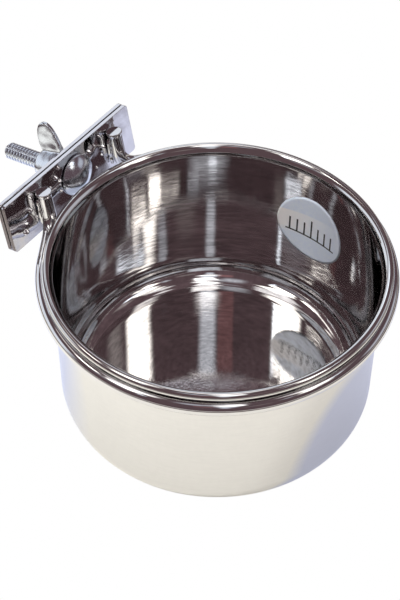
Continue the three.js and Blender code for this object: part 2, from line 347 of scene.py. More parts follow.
def walk(start, runs):
    """Middle line of a bent sheet, as (point, normal) stations of straight runs and arcs."""
    point, heading = np.array(start, float), 0.0
    stations = []

    def note():
        stations.append((point.copy(), np.array((-math.sin(heading), math.cos(heading)))))

    note()
    for run in runs:
        if "to" in run:
            step = (np.array(run["to"], float) - point) / run["steps"]
            heading = math.atan2(step[1], step[0])
            for _ in range(run["steps"]):
                point = point + step
                note()
            continue
        side = math.copysign(1, run["turn"])
        across = np.array((-math.sin(heading), math.cos(heading)))
        centre = point + side * run["radius"] * across
        turn = run["turn"] / run["steps"]
        for _ in range(run["steps"]):
            arm = point - centre
            point = centre + np.array((
                arm[0] * math.cos(turn) - arm[1] * math.sin(turn),
                arm[0] * math.sin(turn) + arm[1] * math.cos(turn),
            ))
            heading += turn
            note()
    return stations


def make_cup():
    """The drawn and rolled sheet, with the faint line that the drawing die leaves low down."""
    half = SHEET / 2
    wall = WALL_RADIUS - half
    foot = wall - DRAFT
    stations = walk((0, half), [
        {"to": (foot - (CORNER - half), half), "steps": FLOOR_STEPS},
        {"radius": CORNER - half, "turn": math.pi / 2, "steps": CORNER_STEPS},
        {"to": (wall, CREASE_HEIGHT), "steps": WALL_STEPS},
        {"radius": FLARE, "turn": -FLARE_ANGLE, "steps": FLARE_STEPS},
        {"radius": BEAD - half, "turn": -CURL_ANGLE, "steps": CURL_STEPS},
    ])
    marked = []
    for index, (point, normal) in enumerate(stations):
        angle = math.pi / 2 * (index - FLOOR_STEPS) / CORNER_STEPS
        dip = DIE_LINE_DEPTH * math.exp(-((angle - DIE_LINE_ANGLE) / DIE_LINE_WIDTH) ** 2)
        marked.append((point - normal * dip, normal))
    outside = [p - n * half for p, n in marked]
    inside = [p + n * half for p, n in marked]
    end, normal = marked[-1]
    ahead = np.array((normal[1], -normal[0]))
    rounded = [
        end + half * (-normal * math.cos(a) + ahead * math.sin(a))
        for a in np.linspace(0, math.pi, SHEET_END_STEPS + 1)[1:-1]
    ]
    profile = [tuple(p) for p in outside + rounded + inside[::-1]]
    profile[0] = (0, profile[0][1])
    profile[-1] = (0, profile[-1][1])
    cup = new_object("steel_cup", *lathe(profile, CUP_SIDES, turned), "cup", CUP_PLACE)
    floor_radius = foot - CORNER + half
    for polygon in cup.data.polygons:
        x, y, z = polygon.center / MM
        radius = math.hypot(x, y)
        on_floor = radius < floor_radius and z > half
        in_corner = math.hypot(radius - floor_radius, z - CORNER) < CORNER - half
        on_wall = radius < WALL_RADIUS - INNER_SIDE_MARGIN and z < CREASE_HEIGHT
        inner_side = on_floor or (on_wall and (z > CORNER or in_corner))
        polygon.material_index = 1 if inner_side else 0
    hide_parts("cup")
    return cup


def wall_inner(height):
    """Inner radius of the wall at a height over the underside."""
    return WALL_RADIUS - SHEET - DRAFT * (CREASE_HEIGHT - height) / (CREASE_HEIGHT - CORNER)


LABEL_DISTANCE = wall_inner(LABEL_HEIGHT)
LABEL_TURN = Matrix.Rotation(LABEL_AZIMUTH, 4, "Z")
LABEL_MIDDLE = Matrix.Translation(Vector((LABEL_DISTANCE, 0, LABEL_HEIGHT)) * MM)
LABEL_PLACE = CUP_PLACE @ LABEL_TURN @ LABEL_MIDDLE


def make_label():
    """A thin round film, bent to the wall."""
    verts, faces = [], []

    def put(along, rise, lift):
        radius = wall_inner(LABEL_HEIGHT + rise) - lift
        angle = along / LABEL_DISTANCE
        return (radius * math.cos(angle) - LABEL_DISTANCE, radius * math.sin(angle), rise)

    for lift, inset in ((LABEL_BACK, 0), (LABEL_FRONT, LABEL_EDGE_INSET)):
        verts.append(put(0, 0, lift))
        rings = [(LABEL_RADIUS * (k / (LABEL_RINGS - 1)), lift) for k in range(1, LABEL_RINGS)]
        rings.append((LABEL_RADIUS - inset, lift - LABEL_EDGE_DROP))
        for reach, height in rings:
            verts += [
                put(reach * math.cos(a), reach * math.sin(a), height) for a in around(LABEL_SPOKES)
            ]
    sheet = 1 + LABEL_RINGS * LABEL_SPOKES
    for layer in (0, sheet):
        for spoke in range(LABEL_SPOKES):
            after = (spoke + 1) % LABEL_SPOKES
            faces.append((layer, layer + 1 + spoke, layer + 1 + after))
            for ring in range(LABEL_RINGS - 1):
                a = layer + 1 + ring * LABEL_SPOKES
                b = a + LABEL_SPOKES
                faces.append((a + spoke, b + spoke, b + after, a + after))
    rim = 1 + (LABEL_RINGS - 1) * LABEL_SPOKES
    faces += bands([range(rim, rim + LABEL_SPOKES), range(sheet + rim, sheet + rim + LABEL_SPOKES)])
    label = new_object("silver_label", verts, faces, "cup", LABEL_PLACE)
    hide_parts("capacity_label")
    return label


def sweep(stations, radius, sides):
    """Points and faces of a round bar through (point, direction) stations, its cut ends spread."""
    verts, rows = [], []
    normal = stations[0][1].normalized().orthogonal().normalized()

    def row(centre, tangent, size):
        side = tangent.cross(normal).normalized()
        rows.append(range(len(verts), len(verts) + sides))
        for a in around(sides):
            verts.append(centre + size * (normal * math.cos(a) + side * math.sin(a)))

    last = len(stations) - 1
    for index, (point, direction) in enumerate(stations):
        tangent = direction.normalized()
        normal = (normal - tangent * normal.dot(tangent)).normalized()
        if index == 0:
            for back, more in reversed(CUT_END):
                row(point + tangent * back, tangent, radius + more)
        elif index == last:
            for back, more in CUT_END:
                row(point - tangent * back, tangent, radius + more)
        else:
            row(point, tangent, radius)
    faces = bands(rows)
    for end, at in ((rows[0], stations[0][0]), (rows[-1], stations[-1][0])):
        faces += fan(len(verts), end)
        verts.append(at)
    return verts, faces


def ring_point(angle):
    """A point of the ring's middle line in the cup's own axes, by its angle from +Y towards +X."""
    return Vector((RING_RADIUS * math.sin(angle), RING_RADIUS * math.cos(angle), RING_HEIGHT))


def leg_end(side):
    """Where the wire leaves its circle for one leg, and the stations of its bend and the leg."""
    corner = BRACKET + BRACKET_AXES @ Vector((side * LEG_HALF, 0, 0)) - CUP
    reach = math.hypot(corner.x, corner.y)
    angle = math.atan2(side * corner.x, corner.y) + math.acos(RING_RADIUS / reach)
    leave = ring_point(side * angle)
    into = (corner - leave).normalized()
    turn = into.angle(UP)
    back = LEG_BEND * math.tan(turn / 2)
    axis = into.cross(UP).normalized()
    start = corner - into * back
    centre = start + axis.cross(into) * LEG_BEND
    stations = []
    for step in range(BEND_STEPS + 1):
        spin = Matrix.Rotation(turn * step / BEND_STEPS, 3, axis)
        stations.append((centre + spin @ (start - centre), spin @ into))
    bent = stations[-1][0]
    for share in LEG_SHARES:
        stations.append((bent.lerp(corner + UP * LEG_LENGTH, share), UP.copy()))
    return angle, stations


def make_ring():
    """One wire: a leg, its bend, the ring, the other bend and the other leg."""
    left_angle, left = leg_end(-1)
    right_angle, right = leg_end(1)
    stations = [(p, -d) for p, d in reversed(left)]
    arc = 2 * math.pi - left_angle - right_angle
    for step in range(RING_STEPS + 1):
        a = -left_angle - arc * step / RING_STEPS
        stations.append((ring_point(a), Vector((-math.cos(a), math.sin(a), 0))))
    bar = sweep(stations + right, WIRE, WIRE_SIDES)
    ring = new_object("wire_ring", *bar, "holder", CUP_PLACE)
    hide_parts("ring_wire")
    return ring


def weld_fillet(leg, side, first):
    """Points and rows of one lumpy fillet beside a leg, whose points are numbered from first."""
    verts, rows = [], []
    for step in range(WELD_STEPS + 1):
        share = step / WELD_STEPS
        z = WELD_START + WELD_LENGTH * share
        place = Vector((leg * 7.3 + side * 3.1, z * 0.9, 1.7))
        lump = WELD_EVEN + WELD_UNEVEN * noise.noise(place)
        taper = math.sqrt(max(0.0, 1 - (2 * share - 1) ** 4))
        size = max(WELD_LEAST, WELD_SIZE * lump * taper)
        rows.append(range(first + len(verts), first + len(verts) + WELD_SIDES))
        for a in around(WELD_SIDES):
            x = leg * LEG_HALF + side * (WELD_FROM_LEG + WELD_WIDE * size * math.cos(a))
            y = WELD_FROM_AXIS + WELD_HIGH * size * math.sin(a) + WELD_TILT * size * math.cos(a)
            verts.append((x, min(y, PLATE_FACE - WELD_SUNK), z))
    return verts, rows


def weld_drop(x, z, size, first):
    """Points and rows of one leaning drop on the plate. Its first point is the hub."""
    verts, rows = [(x, PLATE_FACE - DROP_HEIGHT * size, z)], []
    for ring in range(1, DROP_RINGS + 1):
        share = ring / DROP_RINGS
        rows.append(range(first + len(verts), first + len(verts) + DROP_SIDES))
        for a in around(DROP_SIDES):
            place = Vector((x * 3 + math.cos(a), z * 3 + math.sin(a), 0.4))
            reach = share * size * (1 + DROP_UNEVEN * noise.noise(place))
            slope = DROP_HEIGHT + share * (DROP_LEAN_X * math.cos(a) + DROP_LEAN_Z * math.sin(a))
            lift = -DROP_SUNK
            if ring < DROP_RINGS:
                lift = slope * size * (1 - share ** 2) ** DROP_FULLNESS
            across = x + DROP_STRETCH * reach * math.cos(a)
            verts.append((across, PLATE_FACE - lift, z + reach * math.sin(a)))
    return verts, rows


def make_welds():
    """Uneven fillets of weld metal between each leg and the plate, and drops of spatter."""
    verts, faces = [], []
    for leg in (-1, 1):
        for side in (-1, 1):
            points, rows = weld_fillet(leg, side, len(verts))
            verts += points
            faces += bands(rows) + [tuple(rows[0]), tuple(rows[-1])]
    for x, z, size in SPATTER:
        hub = len(verts)
        points, rows = weld_drop(x, z, size, hub)
        verts += points
        faces += fan(hub, rows[0]) + bands(rows) + [tuple(rows[-1])]
    welds = new_object("leg_welds", verts, faces, "holder", BRACKET_PLACE)
    return welds


def plate_outline(inset):
    """The plate's outline as (x, z), drawn in by inset."""
    low_x, high_x = PLATE_LOW_X + inset, PLATE_HIGH_X - inset
    low_z, high_z = PLATE_LOW_Z + inset, PLATE_HIGH_Z - inset
    r = PLATE_CORNER - inset / 2
    points = []
    for cx, cz, start in (
        (high_x - r, low_z + r, -90), (high_x - r, high_z - r, 0),
        (low_x + r, high_z - r, 90), (low_x + r, low_z + r, 180),
    ):
        for k in range(PLATE_CORNER_STEPS + 1):
            a = math.radians(start + 90 * k / PLATE_CORNER_STEPS)
            points.append((cx + r * math.cos(a), cz + r * math.sin(a)))
    return points


def square_loop():
    """Points round a square of side two, in the order of the plate's outline and as many."""
    corners = [(1, -1), (1, 1), (-1, 1), (-1, -1)]
    points = []
    for index in range(4):
        here, after, before = corners[index], corners[(index + 1) % 4], corners[index - 1]
        for k in range(PLATE_CORNER_STEPS + 1):
            share = k / PLATE_CORNER_STEPS - 0.5
            other = after if share > 0 else before
            points.append(tuple(
                h + (o - h) * abs(share) * HOLE_CORNER_SHARE for h, o in zip(here, other)
            ))
    return points


def make_plate(name, node, face, body):
    """A stamped strip with softly broken edges and a square hole."""
    turns = [math.pi / 2 * k / PLATE_EDGE_STEPS for k in range(PLATE_EDGE_STEPS + 1)]
    insets = [PLATE_EDGE * (1 - math.sin(a)) for a in turns]
    depths = [PLATE_EDGE * (1 - math.cos(a)) for a in turns]
    layers = [(inset, face + depth) for inset, depth in zip(insets, depths)]
    layers += [(inset, face + PLATE - depth) for inset, depth in zip(insets[::-1], depths[::-1])]
    verts, rows, hole_rows = [], [], []
    for inset, y in layers:
        loop = plate_outline(inset)
        count = len(loop)
        rows.append(range(len(verts), len(verts) + count))
        verts += [(x, y, z) for x, z in loop]
    back = face + PLATE
    hole_layers = [
        (HOLE_EDGE, face), (0, face + HOLE_EDGE), (0, back - HOLE_EDGE), (HOLE_EDGE, back),
    ]
    for grow, y in hole_layers:
        hole_rows.append(range(len(verts), len(verts) + count))
        half = HOLE / 2 + grow
        verts += [(x * half, y, PLATE_MIDDLE + z * half) for x, z in square_loop()]
    faces = bands(rows) + bands(hole_rows)
    faces += bands([rows[0], hole_rows[0]]) + bands([rows[-1], hole_rows[-1]])
    plate = new_object(name, verts, faces, body, BRACKET_PLACE)
    for polygon in plate.data.polygons:
        if abs(polygon.normal.y) > FLAT_ENOUGH:
            polygon.use_smooth = False
    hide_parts(node)
    return plate


def bolt_point(radius, y, angle):
    """A point about the bolt's axis, in the clamp's own axes."""
    return (radius * math.cos(angle), y, PLATE_MIDDLE + radius * math.sin(angle))


def bolt_head():
    """Points and faces of the domed head."""
    dome = (HEAD_RADIUS ** 2 + HEAD_HEIGHT ** 2) / (2 * HEAD_HEIGHT)
    opening = math.asin(HEAD_RADIUS / dome)
    crown = []
    for k in range(HEAD_STEPS + 1):
        angle = opening * k / HEAD_STEPS * HEAD_DOME_SHARE
        rise = dome * (math.cos(angle) - math.cos(opening))
        crown.append((dome * math.sin(angle), BOLT_START - rise))
    crown += [
        (HEAD_RADIUS, BOLT_START - HEAD_RIM_TOP), (HEAD_RADIUS, BOLT_START - HEAD_RIM_LOW),
        (HEAD_RADIUS - HEAD_EDGE, BOLT_START), (BOLT, BOLT_START), (0, BOLT_START),
    ]
    return lathe(crown, HEAD_SIDES, bolt_point)


def bolt_shank():
    """Points and faces of the shank, its rolled thread starting gently and its tip chamfered."""
    start = BOLT_START + NECK_LENGTH + THREAD_START
    steps = int((BOLT_END - start) / PITCH * PITCH_STEPS) + 1

    def radius_at(y, angle):
        phase = (y / PITCH - angle / (2 * math.pi)) % 1.0
        crest = min(1.0, max(0.0, (abs(phase - 0.5) * 2 - THREAD_ROOT) / THREAD_FLANK))
        lead = min(1.0, max(0.0, (y - start) / (THREAD_LEAD * PITCH)))
        radius = BOLT - THREAD_EASE - THREAD_DEPTH * (1 - crest) * lead
        return min(radius, BOLT - TIP_DROP + (BOLT_END - y) * TIP_SLOPE)

    verts, rows = [], []
    for step in range(steps + 1):
        y = start + (BOLT_END - start) * step / steps
        rows.append(range(len(verts), len(verts) + SHANK_SIDES))
        verts += [bolt_point(radius_at(y, a), y, a) for a in around(SHANK_SIDES)]
    top = BOLT_START - SHANK_OVERLAP
    rows.insert(0, range(len(verts), len(verts) + SHANK_SIDES))
    verts += [bolt_point(BOLT - THREAD_EASE, top, a) for a in around(SHANK_SIDES)]
    faces = bands(rows)
    for end, y in ((rows[0], top), (rows[-1], BOLT_END)):
        faces += fan(len(verts), end)
        verts.append(bolt_point(0, y, 0))
    return verts, faces


def bolt_neck():
    """Points and faces of the square neck, its corners cut off."""
    side = BOLT - NECK_EASE
    cut = side - NECK_CORNER
    ring = [
        (side, -cut), (side, cut), (cut, side), (-cut, side),
        (-side, cut), (-side, -cut), (-cut, -side), (cut, -side),
    ]
    levels = (BOLT_START - NECK_OVERLAP, BOLT_START + NECK_LENGTH)
    verts = [(x, y, PLATE_MIDDLE + z) for y in levels for x, z in ring]
    low, high = range(len(ring)), range(len(ring), 2 * len(ring))
    return verts, bands([low, high]) + [tuple(low), tuple(high)]


def make_bolt():
    """Domed head, square neck and a threaded shank."""
    verts, faces = [], []
    for points, skin in (bolt_head(), bolt_shank(), bolt_neck()):
        base = len(verts)
        verts += points
        faces += [tuple(base + i for i in face) for face in skin]
    bolt = new_object("coach_bolt", verts, faces, "holder", BRACKET_PLACE)
    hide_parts("carriage_bolt")
    return bolt


def curve(points, steps):
    """Points along one curve with two pulls, without its first."""
    a, b, c, d = [np.array(p, float) for p in points]
    out = []
    for k in range(1, steps + 1):
        t = k / steps
        early, late = a * (1 - t) ** 3 + 3 * b * t * (1 - t) ** 2, 3 * c * t * t * (1 - t)
        out.append(tuple(early + late + d * t ** 3))
    return out


NUT_MIDDLE = Matrix.Translation(Vector((0, NUT_FACE, PLATE_MIDDLE)) * MM)
NUT_PLACE = BRACKET_PLACE @ NUT_MIDDLE @ Matrix.Rotation(NUT_TURN - math.pi / 2, 4, "Y")


def nut_point(radius, y, angle):
    """A point about the nut's own axis."""
    return (radius * math.cos(angle), y, radius * math.sin(angle))


def make_wings():
    """Two leaf-shaped wings, thinner towards their tips."""
    outline = [WING_ROOT]
    for bends in WING_CURVES:
        outline += curve([outline[-1], *bends], WING_CURVE_STEPS)
    count = len(outline)
    low, high = range(count), range(count, 2 * count)
    wings = []
    for side in (1, -1):
        verts = [
            (side * x * WING_REACH, y * WING_RISE, z * (WING_TIP_SHARE + WING_ROOT_EXTRA * (1 - x)))
            for z in (-WING_THICK / 2, WING_THICK / 2) for x, y in outline
        ]
        faces = [tuple(low), tuple(high)] + bands([low, high])
        wings.append(new_object("wing", verts, faces, None))
    return wings


def make_nut():
    """Hub and wings cast in one, with soft edges and a bore."""
    hub = [
        (0, NUT_LOW), (NUT_FOOT_RADIUS - NUT_FOOT_EDGE, NUT_LOW),
        (NUT_FOOT_RADIUS, NUT_LOW + NUT_FOOT_EDGE), (NUT_FOOT_RADIUS, NUT_FOOT_HEIGHT),
        (NUT_TOP_RADIUS + NUT_TOP_EDGE, NUT_HEIGHT - NUT_TOP_EDGE_DROP),
        (NUT_TOP_RADIUS - NUT_TOP_EDGE, NUT_HEIGHT), (0, NUT_HEIGHT),
    ]
    nut = new_object("wing_nut_cast", *lathe(hub, NUT_SIDES, nut_point), None)
    join(nut, make_wings())
    remesh = nut.modifiers.new("remesh", "REMESH")
    remesh.mode = "VOXEL"
    remesh.voxel_size = CAST_VOXEL * MM
    soften = nut.modifiers.new("soften", "SMOOTH")
    soften.factor = CAST_SOFTNESS
    soften.iterations = CAST_PASSES
    apply_modifiers(nut)
    radius, low, high = BOLT + BORE_EASE, -BORE_OVERRUN, NUT_HEIGHT + BORE_OVERRUN
    drill = lathe([(0, low), (radius, low), (radius, high), (0, high)], BORE_SIDES, nut_point)
    bore = new_object("bore", *drill, None)
    cut = nut.modifiers.new("bore", "BOOLEAN")
    cut.operation = "DIFFERENCE"
    cut.object = bore
    cut.solver = "EXACT"
    apply_modifiers(nut)
    bpy.data.objects.remove(bore)
    for polygon in nut.data.polygons:
        polygon.use_smooth = True
    nut.matrix_world = NUT_PLACE
    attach(nut, "nut")
    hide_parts("wing_nut")
    return nut


class Tree:
    """Short calls for building a node tree. Their values are numbers, colours or other outputs."""

    def __init__(self, tree):
        self.tree = tree

    def add(self, kind, **values):
        node = self.tree.nodes.new(kind)
        for key, value in values.items():
            setattr(node, key, value)
        return node

    def feed(self, value, socket):
        """A number, place or colour goes on the socket itself, and an output is linked to it."""
        if isinstance(value, (int, float)):
            socket.default_value = value
        elif isinstance(value, tuple):
            socket.default_value = (*value, 1) if len(socket.default_value) == 4 else value
        else:
            self.tree.links.new(value, socket)

    def math(self, operation, *values):
        node = self.add("ShaderNodeMath", operation=operation)
        for value, socket in zip(values, node.inputs):
            self.feed(value, socket)
        return node.outputs[0]

    def plus(self, a, b):
        return self.math("ADD", a, b)

    def minus(self, a, b):
        return self.math("SUBTRACT", a, b)

    def times(self, a, b):
        return self.math("MULTIPLY", a, b)

    def off(self, value, middle):
        """How far a value is from a middle."""
        return self.math("ABSOLUTE", self.minus(value, middle))

    def noise(self, vector, scale, detail=3.0, roughness=0.5):
        node = self.add("ShaderNodeTexNoise")
        self.feed(vector, node.inputs["Vector"])
        self.feed(scale, node.inputs["Scale"])
        self.feed(detail, node.inputs["Detail"])
        self.feed(roughness, node.inputs["Roughness"])
        return node.outputs["Fac"]

    def spread(self, source, low, high, to_low, to_high, shape="LINEAR"):
        """Carries the range low to high over to another, and holds it there outside."""
        node = self.add("ShaderNodeMapRange", interpolation_type=shape)
        self.feed(source, node.inputs["Value"])
        self.feed(low, node.inputs["From Min"])
        self.feed(high, node.inputs["From Max"])
        self.feed(to_low, node.inputs["To Min"])
        self.feed(to_high, node.inputs["To Max"])
        return node.outputs["Result"]

    def varied(self, source, low, high):
        """A value between two, for a noise."""
        return self.spread(source, NOISE_LOW, NOISE_HIGH, low, high)

    def tint(self, source, low, high, low_at=NOISE_LOW, high_at=NOISE_HIGH):
        """A colour between two, for a source between two values."""
        node = self.add("ShaderNodeValToRGB")
        ends = ((low, low_at), (high, high_at))
        for element, (color, at) in zip(node.color_ramp.elements, ends):
            element.position = at
            element.color = (*color, 1)
        self.feed(source, node.inputs["Fac"])
        return node.outputs["Color"]

    def mix(self, share, a, b):
        """Colour a where share is zero, and b where it is one."""
        node = self.add("ShaderNodeMix", data_type="RGBA")
        self.feed(share, node.inputs[0])
        self.feed(a, node.inputs[6])
        self.feed(b, node.inputs[7])
        return node.outputs[2]

    def bump(self, height, distance, below=None):
        """A bumped normal, on top of the one below it."""
        node = self.add("ShaderNodeBump")
        self.feed(1.0, node.inputs["Strength"])
        self.feed(distance, node.inputs["Distance"])
        self.feed(height, node.inputs["Height"])
        if below is not None:
            self.feed(below, node.inputs["Normal"])
        return node.outputs["Normal"]

    def combine(self, *values):
        node = self.add("ShaderNodeCombineXYZ")
        for value, socket in zip(values, node.inputs):
            self.feed(value, socket)
        return node.outputs[0]

    def split(self, vector):
        node = self.add("ShaderNodeSeparateXYZ")
        self.feed(vector, node.inputs[0])
        return node.outputs

    def white_to_camera(self, shown, white, output):
        """Shows plain white to the camera, and something else in every reflection."""
        ray = self.add("ShaderNodeLightPath")
        share = self.add("ShaderNodeMixShader")
        self.feed(ray.outputs["Is Camera Ray"], share.inputs[0])
        self.feed(shown, share.inputs[1])
        self.feed(white, share.inputs[2])
        self.feed(share.outputs[0], output.inputs["Surface"])


class Finish(Tree):
    """One material's nodes."""

    def __init__(self, name):
        self.material = bpy.data.materials.new(name)
        self.material.use_nodes = True
        super().__init__(self.material.node_tree)
        self.shader = self.tree.nodes["Principled BSDF"]
        self.coords = self.add("ShaderNodeTexCoord").outputs["Object"]

    def surface(self, **values):
        """Values for the shader's sockets, by their names with underscores for spaces."""
        for name, value in values.items():
            self.feed(value, self.shader.inputs[name.replace("_", " ")])


def darker(color, share):
    return tuple(c * (1 - share) for c in color)


def turned_steel(name, color, roughness, line_depth, wave_depth, stain):
    """Steel polished on a lathe: short strokes round the axis in the bump and in the roughness."""
    n = Finish(name)
    x, y, z = n.split(n.coords)
    radius = n.math("SQRT", n.plus(n.times(x, x), n.times(y, y)))
    radius = n.math("MAXIMUM", radius, LEAST_RADIUS)
    across = n.math("DIVIDE", x, radius)
    aside = n.math("DIVIDE", y, radius)
    profile = n.minus(z, radius)

    def strokes(stretch, fineness, detail):
        sweep_x, sweep_y = n.times(across, stretch), n.times(aside, stretch)
        return n.noise(n.combine(sweep_x, sweep_y, n.times(profile, fineness)), 1.0, detail)

    coarse, fine = strokes(*COARSE_STROKES), strokes(*FINE_STROKES)
    lines = n.plus(n.times(coarse, COARSE_SHARE), n.times(fine, FINE_SHARE))
    blotch = n.noise(n.coords, BLOTCH_SCALE, detail=4.0)
    pits = n.noise(n.coords, PIT_SCALE, detail=2.0)
    waves = n.noise(n.coords, WAVE_SCALE, detail=1.0)
    worn = n.plus(n.times(blotch, 1 - WORN_BY_LINES), n.times(lines, WORN_BY_LINES))
    scratched = n.varied(fine, *(roughness * share for share in SCRATCH_GLOSS))
    dulled = n.spread(blotch, DULL_FROM, NOISE_HIGH, 0.0, roughness * DULL_GLOSS)
    normal = n.bump(pits, line_depth * PIT_SHARE, n.bump(lines, line_depth))
    n.surface(
        Base_Color=n.tint(worn, darker(color, stain), color, STAIN_START, STAIN_END),
        Roughness=n.plus(scratched, dulled),
        Normal=n.bump(waves, wave_depth, normal),
        Metallic=1.0,
    )
    return n.material


def smooth_steel(name, color, roughness, waves, grain=None, strip=False):
    """Polished or plated steel with a slightly uneven face and fine wear in its gloss.

    Waves and grain are a scale and a depth. A strip has two dull sheared ends.
    """
    n = Finish(name)
    wear = n.noise(n.coords, WEAR_SCALE, detail=5.0, roughness=0.6)
    shade = n.tint(wear, darker(color, WEAR_SHADE), color)
    gloss = n.varied(wear, *(roughness * share for share in WEAR_GLOSS))
    if strip:
        middle = (PLATE_LOW_X + PLATE_HIGH_X) / 2 * MM
        reach = (PLATE_HIGH_X - PLATE_LOW_X) / 2
        out = n.off(n.split(n.coords)[0], middle)
        cut = n.spread(out, (reach - SHEAR_START) * MM, (reach - SHEAR_FULL) * MM, 0.0, 1.0)
        torn = n.noise(n.coords, TORN_SCALE, detail=2.0)
        shade = n.mix(cut, shade, n.tint(torn, *TORN_COLORS))
        gloss = n.plus(gloss, n.times(cut, TORN_GLOSS))
    normal = n.bump(n.noise(n.coords, waves[0], detail=1.0), waves[1])
    if grain:
        normal = n.bump(n.noise(n.coords, grain[0], detail=2.0), grain[1], normal)
    n.surface(Base_Color=shade, Roughness=gloss, Normal=normal, Metallic=1.0)
    return n.material


def label_film(name):
    """Silver film with a plain scale of dark ticks, a paler band of painted highlight and painted
    shade towards one edge.
    """
    n = Finish(name)
    _, y, z = n.split(n.coords)
    along = n.times(y, 1 / MM)
    rise = n.times(z, 1 / MM)

    def off_tick(step):
        """Distance from the middle of a tick, as a share of the step between ticks."""
        cell = n.math("FRACT", n.plus(n.math("DIVIDE", along, step), CELL_SHIFT))
        return n.off(cell, 0.5)

    on_tick = n.math("LESS_THAN", off_tick(TICK_STEP), TICK_WIDTH / TICK_STEP / 2)
    in_row = n.math("LESS_THAN", n.math("ABSOLUTE", along), TICK_ROW)
    long_tick = n.math("LESS_THAN", off_tick(TICK_STEP * LONG_TICK_EVERY), LONG_TICK_REACH)
    top = n.plus(n.times(long_tick, TICK_LONG - TICK_HIGH), TICK_HIGH)
    tall = n.times(n.math("GREATER_THAN", rise, TICK_LOW), n.math("LESS_THAN", rise, top))
    tick = n.times(n.times(on_tick, in_row), tall)
    off_line = n.off(rise, TICK_LOW - BASE_LINE / 2)
    on_line = n.math("LESS_THAN", off_line, BASE_LINE / 2 + BASE_LINE_OVERLAP)
    ink = n.math("MAXIMUM", tick, n.times(on_line, in_row))
    fibre = n.noise(n.coords, FIBRE_SCALE, detail=4.0, roughness=0.6)
    silver = n.tint(fibre, *FILM_COLORS)
    # Painted shade, darker towards one edge of the film.
    shade = n.spread(along, PAINTED_SHADE_START, PAINTED_SHADE_FULL_AT, 0.0, PAINTED_SHADE_DEPTH)
    silver = n.mix(shade, silver, FILM_PAINTED_SHADE)
    # A paler band of painted highlight, leaning across the film.
    lean = n.plus(rise, n.times(along, BAND_SLOPE))
    under = n.spread(lean, BAND_TOP, BAND_TOP - BAND_TOP_FADE, 0.0, 1.0)
    over = n.spread(lean, BAND_LOW - BAND_LOW_FADE, BAND_LOW, 0.0, 1.0)
    across = n.spread(along, BAND_FAINT_AT, BAND_FULL_AT, BAND_FAINT, 1.0)
    band = n.times(n.times(under, over), across)
    silver = n.mix(band, silver, FILM_PAINTED_HIGHLIGHT)
    n.surface(
        Base_Color=n.mix(ink, silver, INK),
        Roughness=n.varied(fibre, *FILM_GLOSS),
        Normal=n.bump(fibre, FIBRE_DEPTH),
    )
    return n.material


cup = make_cup()
label = make_label()
ring = make_ring()
welds = make_welds()
inner_plate = make_plate("plate_inner", "holder_plate", PLATE_FACE, "holder")
outer_plate = make_plate("plate_outer", "clamp_plate", PLATE_FACE + PLATE + PLATE_GAP, "clamp")
bolt = make_bolt()
nut = make_nut()

cup.data.materials.append(turned_steel(
    "cup_polished", (0.65, 0.645, 0.635), roughness=0.05,
    line_depth=0.000001, wave_depth=0.00004, stain=0.03,
))
cup.data.materials.append(turned_steel(
    "cup_brushed", (0.74, 0.725, 0.72), roughness=0.05,
    line_depth=0.000016, wave_depth=0.00005, stain=0.34,
))
label.data.materials.append(label_film("label_silver"))
wire_steel = smooth_steel(
    "wire_polished", (0.66, 0.655, 0.66), roughness=0.07, waves=(160.0, 0.00006))
plate_steel = smooth_steel(
    "plate_polished", (0.68, 0.67, 0.69), roughness=0.06,
    waves=(130.0, 0.0004), grain=(420.0, 0.00003), strip=True,
)
bolt_steel = smooth_steel(
    "bolt_plated", (0.70, 0.74, 0.80), roughness=0.2, waves=(300.0, 0.00004))
nut_steel = smooth_steel(
    "nut_plated", (0.66, 0.70, 0.75), roughness=0.2,
    waves=(190.0, 0.0006), grain=(1600.0, 0.00002),
)
for piece, steel in (
    (ring, wire_steel), (welds, wire_steel), (inner_plate, plate_steel),
    (outer_plate, plate_steel), (bolt, bolt_steel), (nut, nut_steel),
):
    piece.data.materials.append(steel)

# Stage
FLOOR_REACH, FLOOR_GAP = 3, 0.0002
FLOOR_Z = CUP.z * MM - FLOOR_GAP
floor_mesh = bpy.data.meshes.new("floor")
floor_corners = [(-1, -1), (1, -1), (1, 1), (-1, 1)]
floor_mesh.from_pydata(
    [(x * FLOOR_REACH, y * FLOOR_REACH, FLOOR_Z) for x, y in floor_corners], [], [(0, 1, 2, 3)])
floor = bpy.data.objects.new("floor", floor_mesh)
bpy.context.scene.collection.objects.link(floor)


